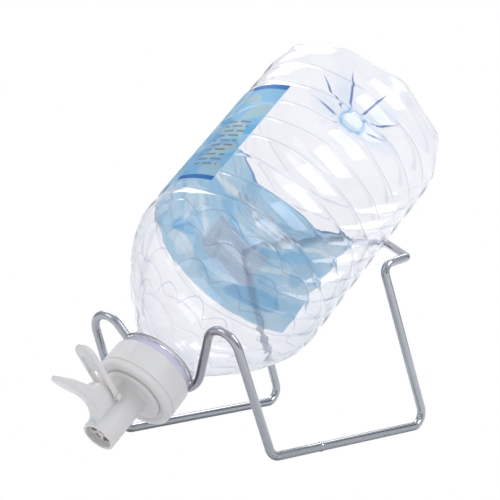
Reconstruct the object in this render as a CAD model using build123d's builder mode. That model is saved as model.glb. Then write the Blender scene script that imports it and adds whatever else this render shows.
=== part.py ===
from build123d import *
from math import cos, radians, sin, tan
import os

os.makedirs("parts", exist_ok=True)

# Bottle-on-a-rack water dispenser. Millimetres, +Z up, the tap looks along -Y.
# The origin is on the table, at the middle of the rack's footprint.

# Shared values
cut_overrun = 1.0
seat_gap = 0.3
soft_gap = 0.05

# Rack: one closed loop of round wire
wire_diameter = 6.5
rack_side_inset = 2.0
rail_length = 171.0
base_bend_radius = 10.0
leg_stub_height = 24.0
front_lean = 21.4
front_inset = 1.9
cradle_side_angle = 31.4
hump_bend_radius = 14.5
rear_lean = 21.0
rear_inset = 1.3
knee_inside_radius = 26.5
top_tilt = 8.1
jog_length = 28.1
jog_bend_radius = 7.0
corner_bend_radius = 5.5
shoulder_bend_radius = 9.0
crossbar_straight = 52.0
weld_from_front = 50.0
weld_length = 3.0
weld_proud = 0.45

# Where the bottle lies: the tilt of its axis, and where the axis goes through the front wire's plane
tilt = 38.0
cradle_axis_height = 76.04
cradle_station = 38.9

# Bottle, with stations measured along the axis from the cap's parting line
bottle_radius = 77.0
ring_depth = 2.0
ring_pitch = 20.0
ring_count = 8
ring_half_width = 5.0
first_ring_station = 129.5
skin = 0.7
neck_radius = 26.0
neck_wall = 2.0
finish_radius = 25.4
finish_wall = 1.9
mouth_station = 3.0
neck_root_station = 41.0
shoulder_stations = [43.5, 52.0, 68.0, 84.0, 100.0, 115.0]
shoulder_shares = [0.088, 0.255, 0.529, 0.745, 0.914, 1.0]
shoulder_inset_share = 1.2
support_ring_radius = 29.6
support_ring_station = 24.6
support_ring_thickness = 2.0
barrel_start_station = 120.0
barrel_end_station = 280.0
base_station = 302.0
base_corner_radius = 13.0
base_ring_radius = 47.0
base_push_up = 10.0
base_boss_radius = 9.0
base_boss_height = 4.5

# Tamper band that stays on the neck
band_inner_radius = 26.2
band_thickness = 1.9
band_station = 19.2
band_length = 4.9

# Label film, wrapped round the far half of the bottle
label_station = 135.0
label_length = 108.0
label_thickness = 0.25
label_start_angle = 80.0
label_sweep_angle = 188.0

# Screw cap
cap_radius = 31.1
cap_rear_radius = 30.7
cap_length = 18.3
cap_bore_radius = 27.3
cap_face_front = 4.0
cap_face_back = 1.5
cap_opening_radius = 23.1
rim_inner_radius = 25.6
rim_front = 6.0
rim_round_radius = 2.6
parting_width = 0.8
parting_depth = 0.6
grip_rib_count = 4
grip_rib_width = 2.4
grip_rib_proud = 0.6
grip_rib_start = 2.4
grip_rib_first_angle = 14.0

# Tap body
flange_radius = 26.6
flange_back = 1.0
hub_radius = 22.4
hub_front = 7.2
hub_dish_depth = 0.8
hub_lip = 1.6
spout_radius = 12.4
spout_front = 47.4
spout_bore_radius = 9.6
outlet_radius = 10.4
outlet_depth = 4.2
guide_thickness = 1.8
chamber_radius = 12.0
seat_station = -5.0
seat_wall = 3.0
seat_hole_radius = 6.0

# Fixed ear and the web under it, as stations and heights above the axis
web_width = 10.0
web_base_height = 10.8
crank_slot_front = -23.4
crank_slot_back = -15.6
crank_slot_width = 2.0
ear_front_curve = [(-46.6, 11.9), (-42.6, 12.6), (-39.7, 16.2), (-38.4, 21.6), (-39.2, 29.0), (-42.0, 37.5),
                   (-45.2, 45.2), (-47.9, 52.5), (-49.8, 57.6)]
ear_tip = (-49.4, 59.9)
ear_back_curve = [(-47.0, 60.0), (-42.8, 54.2), (-38.2, 46.8), (-32.2, 34.8)]
ear_half_width = 8.0
ear_tongue_root = (-39.6, 35.6)
web_top_back = (-24.4, 31.0)
web_back = (-17.4, 18.6)
web_foot_back = (-16.6, 14.6)

# Squeeze lever
pivot_station = -20.5
pivot_height = 14.5
pin_radius = 1.5
pin_head_radius = 2.3
pin_head_length = 0.8
running_gap = 0.06
side_gap = 0.3
arm_thickness = 2.4
fork_height = 38.4
arm_end_radius = 2.7
lever_front_foot = (-23.2, 15.2)
lever_front_curve = [(-22.3, 20.0), (-21.8, 31.0), (-21.3, 45.0), (-20.6, 58.0)]
lever_tip = (-18.9, 61.6)
lever_back_curve = [(-17.1, 58.6), (-16.6, 51.0), (-16.9, 43.0), (-17.6, 33.0), (-18.1, 20.0)]
lever_back_foot = (-17.8, 15.2)
channel_width = 7.6
channel_depth = 0.9
channel_head = 52.0
crank_length = 11.0
crank_radius = 1.6
crank_width = 1.3

# Valve
stem_radius = 1.75
stem_front = -44.6
stem_back = 15.5
crossbar_width = 14.6
crossbar_top = 4.8
crossbar_thickness = 1.8
nose_gap = 0.1
seal_radius = 9.0
seal_thickness = 2.4
head_radius = 7.0
head_thickness = 1.6
guide_gap = 0.08

# Spring cage
cage_radius = 11.7
cage_wall = 2.0
cage_front = -2.5
cage_back = 13.5
cage_plate = 1.5
cage_lip_radius = 13.6
cage_lip_thickness = 1.5
cage_window_count = 6
cage_window_width = 5.6
cage_window_start = 3.8

# Return spring
spring_wire = 0.9
spring_radius = 5.2
spring_turns = 5

# Stem guide in the outlet
guide_hub_radius = 3.6
guide_ring_wall = 1.4
guide_spoke_count = 6
guide_spoke_width = 2.2

# Gasket between the bottle's mouth and the tap's flange
gasket_inner_radius = 20.0
gasket_outer_radius = 26.3

# Directions of the tilted axis
axis_dir = Vector(0, cos(radians(tilt)), sin(radians(tilt)))
up_dir = Vector(0, -sin(radians(tilt)), cos(radians(tilt)))
side_dir = Vector(1, 0, 0)
wire_radius = wire_diameter / 2
front_y = -rail_length / 2
rear_y = rail_length / 2
half_width = bottle_radius - rack_side_inset


def front_point(across, height):
    """A place in the leaning plane of the rack's front."""
    lean = radians(front_lean)
    return Vector(across, front_y - height * sin(lean), wire_radius + height * cos(lean))


def rear_point(across, height):
    """A place in the leaning plane of the rear legs."""
    lean = radians(rear_lean)
    return Vector(across, rear_y - height * sin(lean), wire_radius + height * cos(lean))


seam_centre = front_point(0, cradle_axis_height) - axis_dir * cradle_station
tap_axis = Axis(seam_centre, axis_dir)


def axis_point(station, height=0.0, across=0.0):
    """A place given by its station on the axis, its height above it and its distance across."""
    return seam_centre + axis_dir * station + up_dir * height + side_dir * across


def profile_plane():
    """Plane through the axis: x is the radius, y is the station."""
    return Plane(origin=seam_centre, x_dir=side_dir, z_dir=up_dir)


def square_plane(station):
    """Plane square to the axis at a station, looking towards the bottle's base."""
    return Plane(origin=axis_point(station), x_dir=side_dir, z_dir=axis_dir)


def side_plane(across=0.0):
    """Plane of the side view: x is the station, y is the height above the axis."""
    return Plane(origin=axis_point(0, across=across), x_dir=axis_dir, z_dir=side_dir)


def spun(points, mode=Mode.ADD):
    """Turns a closed outline of radius and station points about the tap's axis."""
    with BuildSketch(profile_plane()) as half_section:
        with BuildLine():
            Polyline(*points, close=True)
        make_face()
    revolve(half_section.sketch, axis=tap_axis, mode=mode)


def wire_along(points, radii):
    """Rack wire that follows a bent path."""
    with BuildLine() as path:
        FilletPolyline(*points, radius=radii)
    with BuildSketch(Plane(origin=path.line @ 0, z_dir=path.line % 0)) as section:
        Circle(wire_radius)
    sweep(section.sketch, path=path.line)


# The cradle's arc is round the axis, seen square to the bottle's neck
plane_angle = tilt - front_lean
cradle_radius = (neck_radius + seat_gap + wire_radius) / cos(radians(plane_angle))
cradle_slope = tan(radians(cradle_side_angle))
cradle_apex_height = cradle_axis_height - cradle_radius / sin(radians(cradle_side_angle))
hump_slopes = cradle_slope + tan(radians(front_inset))
hump_apex_height = (half_width + cradle_apex_height * cradle_slope) / hump_slopes


def front_leg_across(height):
    """Half distance between the front legs at a height."""
    return half_width - height * tan(radians(front_inset))


def rear_leg_across(height):
    """Half distance between the rear legs at a height."""
    return half_width - height * tan(radians(rear_inset))


# Front wire: both front legs, the two humps and the cradle that holds the neck
with BuildPart() as front_cradle_wire:
    wire_along(
        [
            front_point(-front_leg_across(leg_stub_height), leg_stub_height),
            front_point(-front_leg_across(hump_apex_height), hump_apex_height),
            front_point(0, cradle_apex_height),
            front_point(front_leg_across(hump_apex_height), hump_apex_height),
            front_point(front_leg_across(leg_stub_height), leg_stub_height),
        ],
        [hump_bend_radius, cradle_radius, hump_bend_radius],
    )
front_cradle_wire.part.label = "front_cradle_wire"
export_step(front_cradle_wire.part, "parts/front_cradle_wire.step")

# Rear wire: rear legs, the steps to the rear and the crossbar under the bottle.
# The legs end at a set depth below the bottle's axis.
knee_drop = bottle_radius - knee_inside_radius
foot_rise = (rear_point(0, 0) - seam_centre).dot(up_dir)
rear_leg_height = -(knee_drop + foot_rise) / cos(radians(tilt - rear_lean))
knee = rear_point(rear_leg_across(rear_leg_height), rear_leg_height)
top_dir = Vector(0, cos(radians(top_tilt)), sin(radians(top_tilt)))
knee_height = (knee - seam_centre).dot(up_dir)
bar_reach = (bottle_radius + seat_gap + wire_radius + knee_height) / sin(radians(tilt - top_tilt))
elbow = knee + top_dir * jog_length
bar_end = Vector(crossbar_straight / 2, knee.Y, knee.Z) + top_dir * bar_reach


def mirrored(point):
    """The same place on the other side of the rack."""
    return Vector(-point.X, point.Y, point.Z)


with BuildPart() as rear_support_wire:
    wire_along(
        [
            rear_point(-rear_leg_across(leg_stub_height), leg_stub_height),
            mirrored(knee),
            mirrored(elbow),
            mirrored(bar_end),
            bar_end,
            elbow,
            knee,
            rear_point(rear_leg_across(leg_stub_height), leg_stub_height),
        ],
        [
            jog_bend_radius,
            corner_bend_radius,
            shoulder_bend_radius,
            shoulder_bend_radius,
            corner_bend_radius,
            jog_bend_radius,
        ],
    )
rear_support_wire.part.label = "rear_support_wire"
export_step(rear_support_wire.part, "parts/rear_support_wire.step")

# Base rails with their bent corners. The wire's two ends meet in the right rail.
weld_start = Vector(half_width, front_y + weld_from_front, wire_radius)
weld_end = weld_start + Vector(0, weld_length, 0)
front_corner = Vector(half_width, front_y, wire_radius)
rear_corner = Vector(half_width, rear_y, wire_radius)
front_stub = front_point(front_leg_across(leg_stub_height), leg_stub_height)
rear_stub = rear_point(rear_leg_across(leg_stub_height), leg_stub_height)

with BuildPart() as left_base_rail:
    wire_along(
        [mirrored(front_stub), mirrored(front_corner), mirrored(rear_corner), mirrored(rear_stub)],
        [base_bend_radius, base_bend_radius],
    )
left_base_rail.part.label = "left_base_rail"
export_step(left_base_rail.part, "parts/left_base_rail.step")

with BuildPart() as right_rail_front:
    wire_along([front_stub, front_corner, weld_start], base_bend_radius)
right_rail_front.part.label = "right_rail_front"
export_step(right_rail_front.part, "parts/right_rail_front.step")

with BuildPart() as right_rail_rear:
    wire_along([weld_end, rear_corner, rear_stub], base_bend_radius)
right_rail_rear.part.label = "right_rail_rear"
export_step(right_rail_rear.part, "parts/right_rail_rear.step")

# Butt weld: a short bead, a little proud of the wire
with BuildPart() as rail_weld:
    with BuildSketch(Plane(origin=weld_start, x_dir=side_dir, z_dir=(0, 0, 1))):
        with BuildLine():
            Line((0, 0), (wire_radius, 0))
            crown = (wire_radius + weld_proud, weld_length / 2)
            ThreePointArc((wire_radius, 0), crown, (wire_radius, weld_length))
            Line((wire_radius, weld_length), (0, weld_length))
            Line((0, weld_length), (0, 0))
        make_face()
    revolve(axis=Axis(weld_start, (0, 1, 0)))
rail_weld.part.label = "rail_weld"
export_step(rail_weld.part, "parts/rail_weld.step")


# Bottle
def bottle_outline(inset, neck, finish, mouth):
    """Closed half section of the bottle, moved in by inset, from its mouth to the middle of its base."""
    crest = bottle_radius - inset
    foot = base_station - inset
    bulge = bottle_radius - neck_radius
    root = neck_radius - inset * shoulder_inset_share
    shoulder = [(root + bulge * share, s) for share, s in zip(shoulder_shares[:-1], shoulder_stations)]
    shoulder.append((crest, shoulder_stations[-1]))
    with BuildSketch(profile_plane()) as half_section:
        with BuildLine():
            Polyline(
                (0, mouth),
                (finish, mouth),
                (finish, support_ring_station),
                (neck, support_ring_station),
                (neck, neck_root_station),
                shoulder[0],
            )
            Spline(*shoulder)
            edge = shoulder[-1]
            for i in range(ring_count):
                groove = first_ring_station + ring_pitch * i
                before = (crest, groove - ring_half_width)
                after = (crest, groove + ring_half_width)
                Line(edge, before)
                ThreePointArc(before, (crest - ring_depth, groove), after)
                edge = after
            FilletPolyline(
                edge,
                (crest, foot),
                (base_ring_radius, foot),
                (base_boss_radius, foot - base_push_up),
                (0, foot - base_push_up),
                radius=[base_corner_radius - inset, base_corner_radius, base_boss_radius / 2],
            )
            Line((0, foot - base_push_up), (0, mouth))
        make_face()
    return half_section.sketch


with BuildPart() as bottle_shell:
    revolve(bottle_outline(0, neck_radius, finish_radius, mouth_station), axis=tap_axis)
    with BuildSketch(square_plane(support_ring_station)):
        Circle(support_ring_radius)
    extrude(amount=support_ring_thickness)
    with BuildSketch(square_plane(base_station - base_push_up - skin / 2)):
        Circle(base_boss_radius / 2)
    extrude(amount=base_boss_height)
    bore = finish_radius - finish_wall
    inside = bottle_outline(skin, neck_radius - neck_wall, bore, mouth_station - cut_overrun)
    revolve(inside, axis=tap_axis, mode=Mode.SUBTRACT)

# The shell in runs that meet face to face: the neck, and then each run in a left and a right half
with BuildPart() as bottle_neck:
    add(bottle_shell.part)
    split(bisect_by=square_plane(neck_root_station), keep=Keep.BOTTOM)
bottle_neck.part.label = "bottle_neck"
export_step(bottle_neck.part, "parts/bottle_neck.step")

barrel_middle_station = (barrel_start_station + barrel_end_station) / 2
shell_runs = {
    "bottle_shoulder": (neck_root_station, barrel_start_station),
    "bottle_front_barrel": (barrel_start_station, barrel_middle_station),
    "bottle_rear_barrel": (barrel_middle_station, barrel_end_station),
    "bottle_base": (barrel_end_station, base_station + cut_overrun),
}
for run_name, (run_start, run_end) in shell_runs.items():
    for side, kept_side in (("left", Keep.BOTTOM), ("right", Keep.TOP)):
        with BuildPart() as half_run:
            add(bottle_shell.part)
            split(bisect_by=square_plane(run_start), keep=Keep.TOP)
            split(bisect_by=square_plane(run_end), keep=Keep.BOTTOM)
            split(bisect_by=Plane.YZ, keep=kept_side)
        half_run.part.label = f"{run_name}_{side}"
        export_step(half_run.part, f"parts/{run_name}_{side}.step")

# Tamper band left on the neck by the bottle's first closure
with BuildPart() as tamper_band:
    spun([
        (band_inner_radius, band_station),
        (band_inner_radius + band_thickness, band_station),
        (band_inner_radius + band_thickness, band_station + band_length),
        (band_inner_radius, band_station + band_length),
    ])
tamper_band.part.label = "tamper_band"
export_step(tamper_band.part, "parts/tamper_band.step")

# Label film round the far half
label_radius = bottle_radius + soft_gap
start_angle = radians(label_start_angle)
label_edge_dir = side_dir * cos(start_angle) + up_dir * sin(start_angle)
label_edge_plane = Plane(origin=seam_centre, x_dir=label_edge_dir, z_dir=label_edge_dir.cross(axis_dir))
with BuildPart() as label_film:
    with BuildSketch(label_edge_plane):
        with BuildLine():
            Polyline(
                (label_radius, label_station),
                (label_radius + label_thickness, label_station),
                (label_radius + label_thickness, label_station + label_length),
                (label_radius, label_station + label_length),
                close=True,
            )
        make_face()
    revolve(axis=Axis(seam_centre, -axis_dir), revolution_arc=label_sweep_angle)
label_film.part.label = "label_film"
export_step(label_film.part, "parts/label_film.step")


# Screw cap: a ribbed skirt, a rolled front rim and an annular face round the tap's hub
with BuildPart() as screw_cap:
    with BuildSketch(profile_plane()):
        with BuildLine():
            Polyline(
                (cap_bore_radius, cap_length),
                (cap_rear_radius, cap_length),
                (cap_radius, 0),
                (cap_radius - parting_depth, 0),
                (cap_radius - parting_depth, -parting_width),
                (cap_radius - parting_depth / 2, -parting_width),
            )
            FilletPolyline(
                (cap_radius - parting_depth / 2, -parting_width),
                (cap_radius - parting_depth / 2, -rim_front),
                (rim_inner_radius, -rim_front),
                (rim_inner_radius, -cap_face_front),
                radius=[rim_round_radius, rim_round_radius / 2],
            )
            Polyline(
                (rim_inner_radius, -cap_face_front),
                (cap_opening_radius, -cap_face_front),
                (cap_opening_radius, -cap_face_back),
                (cap_bore_radius, -cap_face_back),
                (cap_bore_radius, cap_length),
            )
        make_face()
    revolve(axis=tap_axis)
    rib_root = cap_rear_radius - grip_rib_proud
    rib_height = cap_radius + grip_rib_proud - rib_root
    with BuildSketch(square_plane(grip_rib_start)):
        with PolarLocations(rib_root + rib_height / 2, grip_rib_count, start_angle=grip_rib_first_angle):
            Rectangle(rib_height, grip_rib_width)
    extrude(amount=cap_length - grip_rib_start)
screw_cap.part.label = "screw_cap"
export_step(screw_cap.part, "parts/screw_cap.step")


def tongue_plane(root, tip):
    """Plane at a finger rest's tip that faces its broad side; x runs from its root to its tip."""
    along = axis_point(*tip) - axis_point(*root)
    return Plane(origin=axis_point(*tip), x_dir=along, z_dir=along.cross(side_dir))


# Fixed ear: a broad tongue with round ends, as thick as its side outline
ear_tongue_length = (axis_point(*ear_tip) - axis_point(*ear_tongue_root)).length

with BuildPart() as ear_tongue:
    with BuildSketch(side_plane()):
        with BuildLine():
            Spline(*ear_front_curve)
            ThreePointArc(ear_front_curve[-1], ear_tip, ear_back_curve[0])
            Spline(*ear_back_curve)
            Polyline(
                ear_back_curve[-1],
                (ear_back_curve[-1][0], web_base_height),
                (ear_front_curve[0][0], web_base_height),
                ear_front_curve[0],
            )
        make_face()
    extrude(amount=ear_half_width, both=True)
    with BuildSketch(tongue_plane(ear_tongue_root, ear_tip).offset(-ear_tongue_length)):
        with Locations((-ear_tongue_length / 2, 0)):
            SlotOverall(ear_tongue_length, ear_half_width * 2)
    extrude(amount=ear_tongue_length * 2, mode=Mode.INTERSECT)

# Tap body: flange, hub, spout, web and fixed ear in one moulding
guide_front = outlet_depth - spout_front
guide_back = guide_front + guide_thickness
web_half = web_width / 2

with BuildPart() as tap_body:
    spun([
        (0, flange_back),
        (flange_radius, flange_back),
        (flange_radius, soft_gap - cap_face_back),
        (hub_radius, soft_gap - cap_face_back),
        (hub_radius, -hub_front),
        (hub_radius - hub_lip, -hub_front),
        (hub_radius - hub_lip - hub_dish_depth, hub_dish_depth - hub_front),
        (spout_radius, hub_dish_depth - hub_front),
        (spout_radius, -spout_front),
        (0, -spout_front),
    ])
    with BuildSketch(side_plane()):
        with BuildLine():
            Spline(*ear_front_curve)
            ThreePointArc(ear_front_curve[-1], ear_tip, ear_back_curve[0])
            Spline(*ear_back_curve)
            Polyline(
                ear_back_curve[-1],
                web_top_back,
                web_back,
                web_foot_back,
                (web_foot_back[0], web_base_height),
                (ear_front_curve[0][0], web_base_height),
                ear_front_curve[0],
            )
        make_face()
    extrude(amount=web_half, both=True)
    add(ear_tongue.part)
    spun([
        (0, flange_back + cut_overrun),
        (chamber_radius, flange_back + cut_overrun),
        (chamber_radius, seat_station),
        (seat_hole_radius, seat_station),
        (seat_hole_radius, seat_station - seat_wall),
        (spout_bore_radius, seat_station - seat_wall),
        (spout_bore_radius, guide_back),
        (outlet_radius, guide_back),
        (outlet_radius, -spout_front - cut_overrun),
        (0, -spout_front - cut_overrun),
    ], mode=Mode.SUBTRACT)
    with BuildSketch(side_plane()):
        with Locations((pivot_station, pivot_height)):
            Circle(pin_radius + soft_gap)
    extrude(amount=spout_radius, both=True, mode=Mode.SUBTRACT)
    for side in (-1, 1):
        with BuildSketch(side_plane(side * web_half)):
            with BuildLine():
                Polyline(
                    (crank_slot_front, 0),
                    (crank_slot_back, 0),
                    (crank_slot_back, spout_radius),
                    (crank_slot_front, spout_radius),
                    close=True,
                )
            make_face()
        extrude(amount=side * crank_slot_width, mode=Mode.SUBTRACT)
tap_body.part.label = "tap_body"
export_step(tap_body.part, "parts/tap_body.step")

# Squeeze lever: a channelled finger rest with a round end over a fork, with a crank on each arm
fork_half = web_half + side_gap
lever_half = fork_half + arm_thickness
pivot = (pivot_station, pivot_height)
crank_end = (pivot_station, pivot_height - crank_length)
lever_foot = (pivot_station, pivot_height - arm_end_radius)
lever_length = (axis_point(*lever_tip) - axis_point(*lever_foot)).length + lever_half

with BuildPart() as lever:
    with BuildSketch(side_plane()):
        with BuildLine():
            Line(lever_front_foot, lever_front_curve[0])
            Spline(*lever_front_curve)
            ThreePointArc(lever_front_curve[-1], lever_tip, lever_back_curve[0])
            Spline(*lever_back_curve)
            Polyline(lever_back_curve[-1], lever_back_foot, lever_front_foot)
        make_face()
        with Locations(pivot):
            Circle(arm_end_radius)
    extrude(amount=lever_half, both=True)
    with BuildSketch(tongue_plane(lever_foot, lever_tip).offset(-lever_length)):
        with Locations((-lever_length / 2, 0)):
            SlotOverall(lever_length, lever_half * 2)
    extrude(amount=lever_length * 2, mode=Mode.INTERSECT)
    with BuildSketch(side_plane()):
        with BuildLine():
            Polyline(
                (lever_front_foot[0] - cut_overrun, 0),
                (lever_back_foot[0] + cut_overrun * 2, 0),
                (lever_back_foot[0] + cut_overrun * 2, fork_height),
                (lever_front_foot[0] - cut_overrun, fork_height),
                close=True,
            )
        make_face()
    extrude(amount=fork_half, both=True, mode=Mode.SUBTRACT)
    with BuildSketch(side_plane()):
        with BuildLine():
            Polyline(
                (lever_front_curve[0][0] - cut_overrun, fork_height - cut_overrun),
                (lever_front_curve[0][0] + channel_depth, fork_height - cut_overrun),
                (lever_front_curve[0][0] + channel_depth, channel_head),
                (lever_front_curve[0][0] - cut_overrun, channel_head + channel_depth),
                close=True,
            )
        make_face()
    extrude(amount=channel_width / 2, both=True, mode=Mode.SUBTRACT)
    for side in (-1, 1):
        with BuildSketch(side_plane(side * fork_half)):
            with BuildLine():
                Polyline(
                    (pivot_station - crank_radius, pivot_height),
                    (crank_end[0] - crank_radius, crank_end[1]),
                    (crank_end[0] + crank_radius, crank_end[1]),
                    (pivot_station + crank_radius, pivot_height),
                    close=True,
                )
            make_face()
            with Locations(crank_end):
                Circle(crank_radius)
        extrude(amount=side * crank_width)
    with BuildSketch(side_plane()):
        with Locations(pivot):
            Circle(pin_radius + running_gap)
    extrude(amount=spout_radius, both=True, mode=Mode.SUBTRACT)
lever.part.label = "squeeze_lever"
export_step(lever.part, "parts/squeeze_lever.step")

# Pivot pin, with a head at each end
with BuildPart() as pivot_pin:
    with BuildSketch(side_plane()):
        with Locations(pivot):
            Circle(pin_radius)
    extrude(amount=lever_half + side_gap + pin_head_length / 2, both=True)
    for side in (-1, 1):
        with BuildSketch(side_plane(side * (lever_half + side_gap))):
            with Locations(pivot):
                Circle(pin_head_radius)
        extrude(amount=side * pin_head_length)
pivot_pin.part.label = "pivot_pin"
export_step(pivot_pin.part, "parts/pivot_pin.step")

# Valve stem with the crossbar that the cranks push
crossbar_front = pivot_station + crank_radius + nose_gap
with BuildPart() as valve_stem:
    with BuildSketch(square_plane(stem_front)):
        Circle(stem_radius)
    extrude(amount=stem_back - stem_front)
    with BuildSketch(side_plane()):
        with BuildLine():
            Polyline(
                (crossbar_front, -stem_radius),
                (crossbar_front + crossbar_thickness, -stem_radius),
                (crossbar_front + crossbar_thickness, crossbar_top),
                (crossbar_front, crossbar_top),
                close=True,
            )
        make_face()
    extrude(amount=crossbar_width / 2, both=True)
valve_stem.part.label = "valve_stem"
export_step(valve_stem.part, "parts/valve_stem.step")

# Soft seal and stiff head, both pressed onto the stem
seal_front = seat_station + soft_gap
seal_back = seal_front + seal_thickness
head_front = seal_back + soft_gap
head_back = head_front + head_thickness
stem_hole = stem_radius + soft_gap
with BuildPart() as valve_seal:
    spun([
        (stem_hole, seal_front),
        (seal_radius, seal_front),
        (seal_radius, seal_back),
        (stem_hole, seal_back),
    ])
valve_seal.part.label = "valve_seal"
export_step(valve_seal.part, "parts/valve_seal.step")

with BuildPart() as valve_head:
    spun([
        (stem_hole, head_front),
        (head_radius, head_front),
        (head_radius, head_back),
        (stem_hole, head_back),
    ])
valve_head.part.label = "valve_head"
export_step(valve_head.part, "parts/valve_head.step")

# Spring cage: a windowed cup whose lip rests on the flange
cage_inner = cage_radius - cage_wall
lip_front = flange_back + soft_gap
with BuildPart() as spring_cage:
    spun([
        (cage_inner, cage_front),
        (cage_radius, cage_front),
        (cage_radius, lip_front),
        (cage_lip_radius, lip_front),
        (cage_lip_radius, lip_front + cage_lip_thickness),
        (cage_radius, lip_front + cage_lip_thickness),
        (cage_radius, cage_back),
        (stem_radius + guide_gap, cage_back),
        (stem_radius + guide_gap, cage_back - cage_plate),
        (cage_inner, cage_back - cage_plate),
    ])
    with BuildSketch(square_plane(cage_window_start)):
        with PolarLocations(cage_radius, cage_window_count):
            Rectangle(cage_wall * 2 + cut_overrun, cage_window_width)
    extrude(amount=cage_back - cage_plate - cage_window_start, mode=Mode.SUBTRACT)
spring_cage.part.label = "spring_cage"
export_step(spring_cage.part, "parts/spring_cage.step")

# Return spring between the head and the cage's end plate
spring_front = head_back + spring_wire / 2 + soft_gap
spring_back = cage_back - cage_plate - spring_wire / 2 - soft_gap
spring_length = spring_back - spring_front
with BuildPart() as return_spring:
    with BuildLine() as coil:
        Helix(
            pitch=spring_length / spring_turns,
            height=spring_length,
            radius=spring_radius,
            center=axis_point(spring_front),
            direction=axis_dir,
        )
    with BuildSketch(Plane(origin=coil.line @ 0, z_dir=coil.line % 0)):
        Circle(spring_wire / 2)
    sweep(is_frenet=True)
return_spring.part.label = "return_spring"
export_step(return_spring.part, "parts/return_spring.step")

# Stem guide: a spoked ring that sits on the shoulder inside the outlet
guide_rim = outlet_radius - soft_gap
guide_start = guide_front + soft_gap
guide_depth = guide_thickness - soft_gap * 2
with BuildPart() as stem_guide:
    with BuildSketch(square_plane(guide_start)):
        Circle(guide_rim)
        Circle(guide_rim - guide_ring_wall, mode=Mode.SUBTRACT)
        Circle(guide_hub_radius)
        with PolarLocations(guide_rim / 2, guide_spoke_count):
            Rectangle(guide_rim - guide_ring_wall / 2, guide_spoke_width)
        Circle(stem_radius + guide_gap, mode=Mode.SUBTRACT)
    extrude(amount=guide_depth)
stem_guide.part.label = "stem_guide"
export_step(stem_guide.part, "parts/stem_guide.step")

# Gasket between the bottle's mouth and the flange
with BuildPart() as cap_gasket:
    spun([
        (gasket_inner_radius, flange_back + soft_gap),
        (gasket_outer_radius, flange_back + soft_gap),
        (gasket_outer_radius, mouth_station - soft_gap),
        (gasket_inner_radius, mouth_station - soft_gap),
    ])
cap_gasket.part.label = "cap_gasket"
export_step(cap_gasket.part, "parts/cap_gasket.step")
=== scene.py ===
import math

import bmesh
import bpy
import numpy as np
from mathutils import Matrix, Vector
from mathutils.geometry import tessellate_polygon


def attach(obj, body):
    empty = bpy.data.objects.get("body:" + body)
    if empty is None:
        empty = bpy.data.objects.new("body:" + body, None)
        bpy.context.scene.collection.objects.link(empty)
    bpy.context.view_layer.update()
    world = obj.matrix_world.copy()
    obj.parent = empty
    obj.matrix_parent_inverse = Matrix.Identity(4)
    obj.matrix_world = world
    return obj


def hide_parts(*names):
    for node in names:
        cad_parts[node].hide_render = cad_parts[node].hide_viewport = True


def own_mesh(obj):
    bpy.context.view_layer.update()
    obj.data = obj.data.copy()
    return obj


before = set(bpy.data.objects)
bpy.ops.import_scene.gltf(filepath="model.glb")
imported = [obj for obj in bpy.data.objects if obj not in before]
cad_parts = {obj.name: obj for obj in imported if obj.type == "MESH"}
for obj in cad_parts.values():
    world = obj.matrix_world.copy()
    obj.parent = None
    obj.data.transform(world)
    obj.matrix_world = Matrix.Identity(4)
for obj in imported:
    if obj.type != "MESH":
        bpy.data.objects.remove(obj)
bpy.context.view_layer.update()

# Sizes are in millimetres and angles in radians until a mesh is made
MM = 0.001
HALF_TURN, FULL_TURN = math.pi, 2 * math.pi

# Rack: one closed loop of round wire, between the front and rear edges of its base
WIRE_RADIUS = 3.25
SEAT_GAP = 0.3
RACK_HALF = 75.0
FRONT_Y, REAR_Y = -85.5, 85.5
FRONT_LEAN, REAR_LEAN = math.radians(21.4), math.radians(21.0)
FRONT_INSET, REAR_INSET = math.radians(1.9), math.radians(1.3)
CRADLE_SIDE = math.radians(31.4)
KNEE_HEIGHT = 133.5
TOP_TILT = math.radians(8.1)
STEP_LENGTH = 28.1
CROSSBAR_HALF = 26.0
BASE_BEND, HUMP_BEND, KNEE_BEND, ELBOW_BEND, BAR_BEND = 10.0, 14.5, 7.0, 5.5, 9.0
WELD_FROM_FRONT, WELD_LENGTH = 50.0, 3.0
WELD_RUN_OUT, WELD_SUNK, WELD_PROUD = 0.5, 0.25, 0.4


def leaning_point(across, height, base_y, lean):
    """Point of a wire that leans forwards from the base: forwards by height times the sine of the lean, and
    up by height times its cosine."""
    return np.array([across, base_y - height * math.sin(lean), WIRE_RADIUS + height * math.cos(lean)])


def front_point(across, height):
    """Point on the plane of the front wire."""
    return leaning_point(across, height, FRONT_Y, FRONT_LEAN)


def rear_point(across, height):
    """Point on the plane of the rear wire."""
    return leaning_point(across, height, REAR_Y, REAR_LEAN)


# The bottle's axis. A station is a distance along it, back and up from the cap's parting line.
TILT = math.radians(38.0)
AXIS = np.array([0.0, math.cos(TILT), math.sin(TILT)])
UP = np.array([0.0, -math.sin(TILT), math.cos(TILT)])
SIDE = np.array([1.0, 0.0, 0.0])
CRADLE_AXIS_HEIGHT, CRADLE_STATION = 76.04, 38.9
SEAM = front_point(0, CRADLE_AXIS_HEIGHT) - AXIS * CRADLE_STATION

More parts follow.
